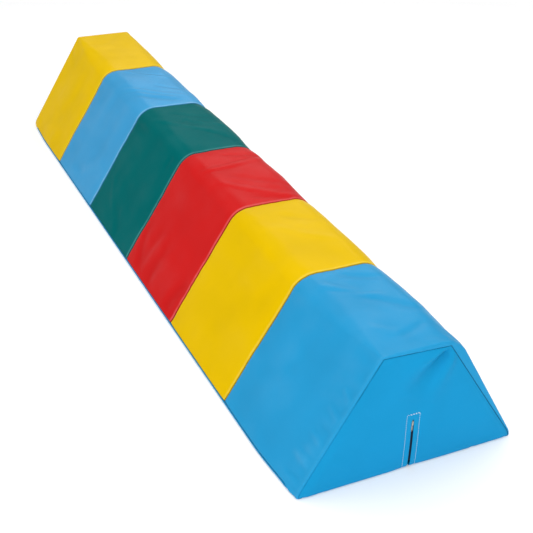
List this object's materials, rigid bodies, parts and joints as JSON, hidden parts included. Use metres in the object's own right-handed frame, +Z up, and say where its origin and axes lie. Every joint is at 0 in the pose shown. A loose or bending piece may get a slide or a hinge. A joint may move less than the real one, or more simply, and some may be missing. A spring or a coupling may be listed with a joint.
{
  "type": "balance beam",
  "caption": "Low soft-play balance beam: a long foam block with sloping sides and a flat top, in a zipped cover sewn from coloured bands of coated cloth.",
  "frame": {"origin": "centre of the base, on the floor it rests on", "axes": "+Y along the beam, away from the end with the zip; +Z up; +X across the beam"},
  "size_m": [0.396, 1.5006, 0.215],
  "materials": {
    "blue_cover": "satin",
    "yellow_cover": "satin",
    "red_cover": "satin",
    "green_cover": "satin",
    "foam": "matte",
    "zip_tape": "matte",
    "zip_coil": "satin",
    "zip_metal": "satin",
    "zip_pull_metal": "satin",
    "white_thread": "matte",
    "seam_thread": "matte"
  },
  "bodies": {
    "cover": {"band_1_blue": "blue_cover", "band_2_yellow": "yellow_cover", "band_3_red": "red_cover", "band_4_green": "green_cover", "band_5_blue": "blue_cover", "band_6_yellow": "yellow_cover", "band_seam_threads": "seam_thread", "base_and_end_panels": "blue_cover", "base_seam_threads": "seam_thread", "end_seam_threads": "seam_thread", "foam_core": "foam", "zip_bottom_stop": "zip_metal", "zip_coil_left": "zip_coil", "zip_coil_right": "zip_coil", "zip_stitching": "white_thread", "zip_tape_left": "zip_tape", "zip_tape_right": "zip_tape", "zip_top_stops": "zip_metal"},
    "slider": {"zip_slider": "zip_metal"},
    "pull": {"zip_pull": "zip_pull_metal"}
  },
  "joints": [
    {"name": "zip_slide", "type": "slide", "parent": "cover", "child": "slider", "axis": [0, 0, -1], "range_m": [0, 0.064]},
    {"name": "pull_swing", "type": "hinge", "parent": "slider", "child": "pull", "pos_m": [0, -0.7491, 0.081], "axis": [-1, 0, 0], "range_deg": [0, 150]}
  ]
}
